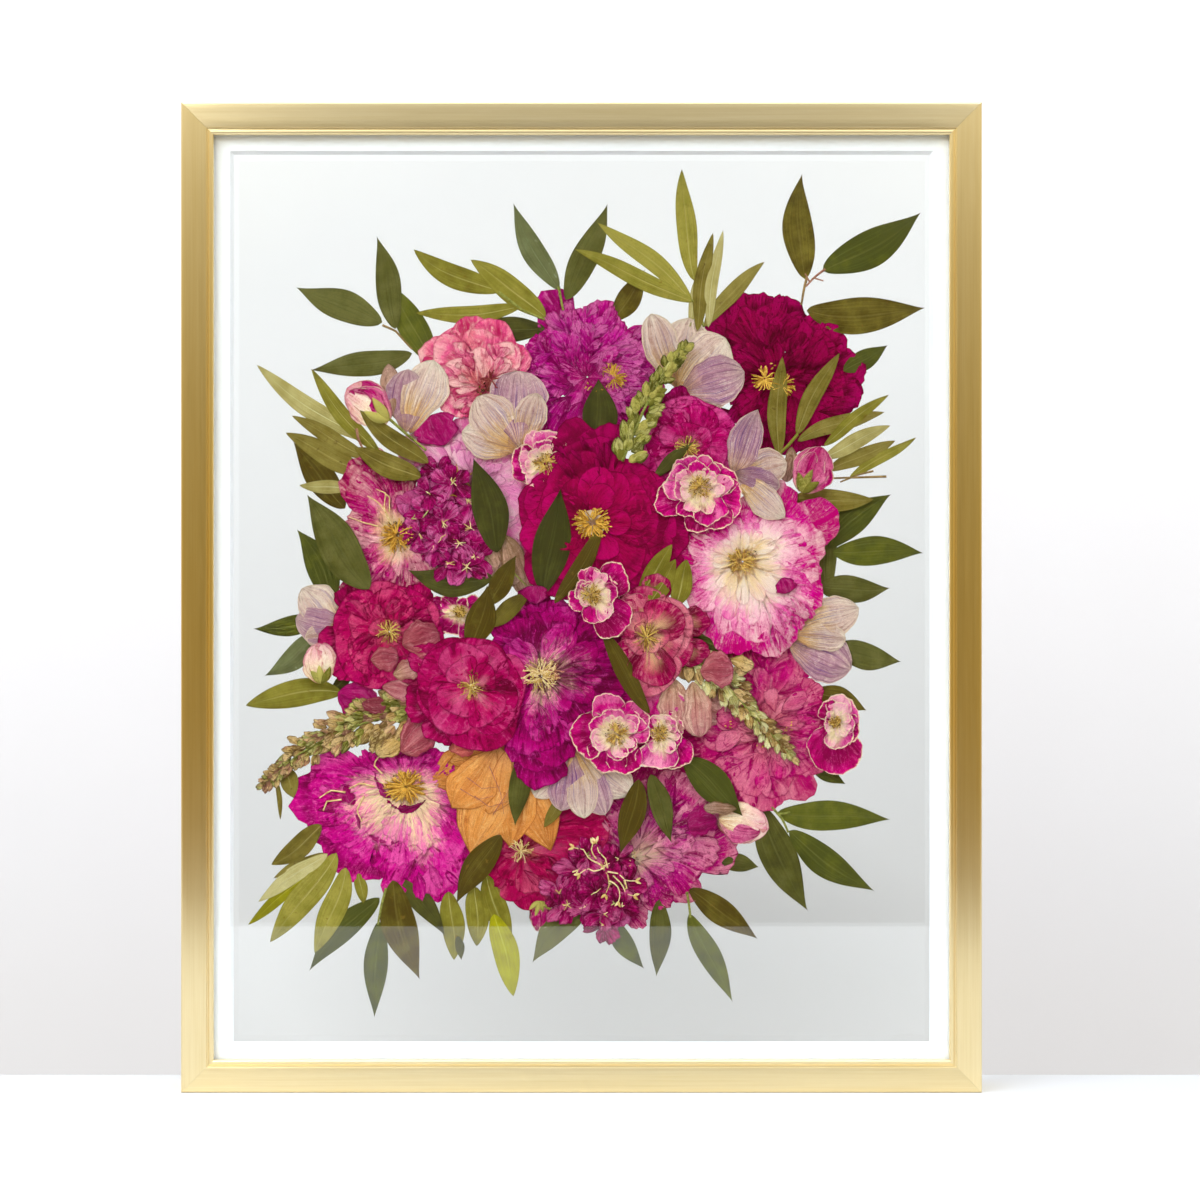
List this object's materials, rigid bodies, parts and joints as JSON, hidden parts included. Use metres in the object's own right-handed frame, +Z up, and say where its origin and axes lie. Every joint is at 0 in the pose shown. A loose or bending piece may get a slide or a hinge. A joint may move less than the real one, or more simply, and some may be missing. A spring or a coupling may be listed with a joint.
{
  "type": "pressed flower frame",
  "caption": "Upright gilt picture frame holding a bouquet of pressed flowers and leaves between panes of glass, behind a white bevelled mat.",
  "frame": {"origin": "middle of the underside the frame stands on, at the centre of its width and of its depth", "axes": "+Z up along the frame's height, +X to the viewer's right across its width, -Y out of the glazed front towards the viewer"},
  "size_m": [0.4294, 0.032, 0.531],
  "materials": {
    "gilt_foil": "gilt foil rubbed to a satin over the wooden moulding",
    "float_glass": "clear polished float glass",
    "mat_board": "smooth white mat board, window cut at a bevel",
    "spacer_board": "white board strip",
    "strip_wood": "plain planed softwood",
    "petal_purple": "dried magenta-purple petals",
    "petal_crimson": "dried dark crimson petals",
    "petal_pink": "dried pink petals",
    "petal_pale": "dried pale pink and cream petals",
    "petal_cream": "dried cream and lilac tulip petals",
    "petal_orange": "dried orange lily petals",
    "bud_green": "dried green flower buds on a spike",
    "leaf_dark": "dried dark green leaf"
  },
  "bodies": {
    "root": {"rail_bottom": "gilt_foil", "rail_top": "gilt_foil", "rail_left": "gilt_foil", "rail_right": "gilt_foil", "glass_front": "float_glass", "glass_rear": "float_glass", "mat_window": "mat_board", "spacer_bottom": "spacer_board", "spacer_top": "spacer_board", "spacer_left": "spacer_board", "spacer_right": "spacer_board", "strip_bottom": "strip_wood", "strip_top": "strip_wood", "strip_left": "strip_wood", "strip_right": "strip_wood", "peony_purple": "petal_purple", "peony_dark_crimson": "petal_crimson", "rose_salmon": "petal_pink", "peony_lilac": "petal_pale", "peony_deep_crimson": "petal_crimson", "rose_crimson_pink": "petal_pink", "peony_pink_white": "petal_pale", "peony_cream_pink": "petal_cream", "stock_left": "petal_crimson", "rose_dark_pink": "petal_crimson", "rose_crimson_left": "petal_crimson", "peony_violet": "petal_purple", "rose_small_right": "petal_pink", "peony_dusty_pink": "petal_pink", "peony_large_magenta": "petal_purple", "flower_crimson_low": "petal_crimson", "peony_streaked_low": "petal_pale", "stock_low": "petal_purple", "spray_rose_a": "petal_pale", "spray_rose_b": "petal_pale", "spray_rose_c": "petal_pale", "spray_rose_d": "petal_pale", "spray_rose_e": "petal_pale", "spray_rose_f": "petal_pale", "spray_rose_g": "petal_pale", "bud_upper_left": "petal_pale", "bud_right": "petal_pale", "bud_cream_left": "petal_cream", "bud_white_low": "petal_cream", "bud_small_low": "petal_pink", "tulip_upper_left": "petal_cream", "tulip_fan_centre": "petal_cream", "tulip_upper_right": "petal_cream", "tulip_star_right": "petal_cream", "tulip_fan_low": "petal_cream", "lily_orange": "petal_orange", "tulip_petal_left": "petal_cream", "tulip_pair_right": "petal_cream", "snapdragon_top": "bud_green", "snapdragon_left": "bud_green", "snapdragon_right": "bud_green", "leaf_broad_left": "leaf_dark", "leaf_centre_left": "leaf_dark", "leaf_centre": "leaf_dark", "leaf_low_right": "leaf_dark"}
  },
  "joints": []
}
